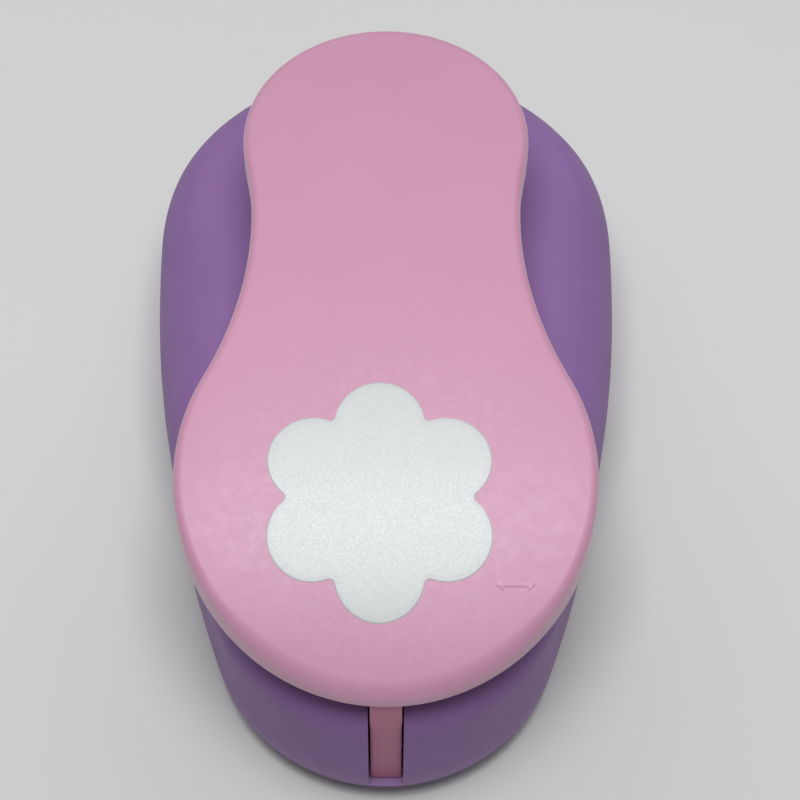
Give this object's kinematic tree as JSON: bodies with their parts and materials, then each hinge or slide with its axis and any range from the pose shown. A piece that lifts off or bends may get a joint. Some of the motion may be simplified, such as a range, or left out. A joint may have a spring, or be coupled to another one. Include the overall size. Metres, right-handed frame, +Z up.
{
  "type": "lever craft punch",
  "caption": "Hand-held paper craft punch with a purple housing, a pink press lever hinged at the front, a silver flower badge and a sprung flower-shaped cutter.",
  "frame": {"origin": "middle of the footprint of the whole punch, on the table it rests on", "axes": "+X to the right, +Y from the paper throat to the lever tail, +Z up"},
  "size_m": [0.0802, 0.1334, 0.0583],
  "materials": {
    "purple_plastic": "semi-matte moulded",
    "pink_plastic": "semi-matte moulded",
    "white_plastic": "satin",
    "silver_foil": "fine sparkle",
    "ground_steel": "ground",
    "bright_steel": "polished",
    "spring_steel": "drawn wire",
    "brass": "turned",
    "rubber": "matte"
  },
  "bodies": {
    "housing": {"body_shell": "purple_plastic", "base_cover": "purple_plastic", "die_plate": "ground_steel", "throat_spacer": "ground_steel", "guide_plate": "ground_steel", "plate_rivets": "ground_steel", "punch_guide_left": "white_plastic", "punch_guide_right": "white_plastic", "guide_post_left": "bright_steel", "guide_post_right": "bright_steel", "pivot_bracket_left": "ground_steel", "pivot_bracket_right": "ground_steel", "pivot_pin": "bright_steel", "pivot_clip_left": "spring_steel", "pivot_clip_right": "spring_steel", "base_screws": "bright_steel", "frame_screws": "bright_steel", "tail_bumper": "rubber", "return_spring_left": "spring_steel", "return_spring_right": "spring_steel"},
    "punch": {"flower_cutter": "ground_steel", "punch_head": "ground_steel", "punch_screws": "bright_steel", "guide_bush_left": "brass", "guide_bush_right": "brass", "strike_pad": "white_plastic"},
    "lever": {"lever_shell": "pink_plastic", "shape_badge": "silver_foil", "pusher_shoe": "white_plastic"}
  },
  "joints": [
    {"name": "punch_slide", "type": "slide", "parent": "housing", "child": "punch", "axis": [0, 0, -1], "range_m": [0, 0.0042], "stiffness_N_per_m": 3200, "springref_m": -0.004, "deforming": ["return_spring_left", "return_spring_right"]},
    {"name": "lever_hinge", "type": "hinge", "parent": "housing", "child": "lever", "pos_m": [0, -0.0604, 0.0115], "axis": [-1, 0, 0], "range_deg": [0, 7.6]}
  ],
  "couplings": [
    {"joint": "lever_hinge", "follows": "punch_slide", "rad_per_m": 31.25}
  ]
}
